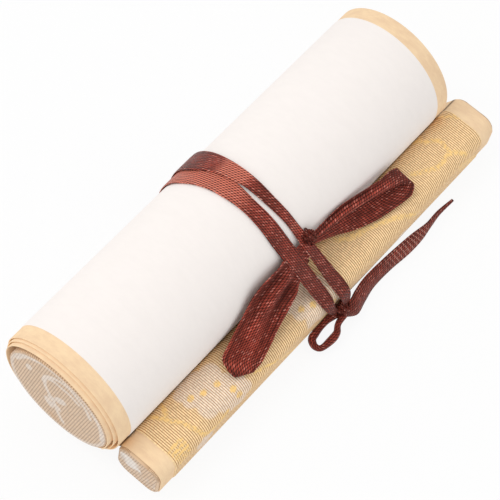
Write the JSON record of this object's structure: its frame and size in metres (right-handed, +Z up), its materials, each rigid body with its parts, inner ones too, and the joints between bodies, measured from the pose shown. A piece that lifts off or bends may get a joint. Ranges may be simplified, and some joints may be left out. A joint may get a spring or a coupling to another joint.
{
  "type": "rolled paper scroll",
  "caption": "Small blank hanging scroll wound on a thick wooden roller, its square stave covered in brocade and tied against the roll with a woven ribbon bow.",
  "frame": {"origin": "on the surface the scroll lies on, under the roll's axis, at the roller's mid-length", "axes": "+X along the roller towards its far end, -Y towards the stave, +Z up"},
  "size_m": [0.1405, 0.057, 0.0393],
  "materials": {
    "stick_wood": "plain sanded",
    "end_brocade": "ribbed silver-grey brocade",
    "mounting_paper": "matte tan paper",
    "white_paper": "matte white paper",
    "gold_brocade": "ribbed gold brocade",
    "ribbon": "plaited dark red-brown tape"
  },
  "bodies": {
    "root": {"roller": "stick_wood", "roller_cap_near": "end_brocade", "roller_cap_far": "end_brocade", "stave": "stick_wood", "stave_cap_near": "end_brocade", "stave_cap_far": "end_brocade", "mounting_sheet": "mounting_paper", "white_panel": "white_paper", "brocade_panel": "gold_brocade", "ribbon": "ribbon"}
  },
  "joints": []
}
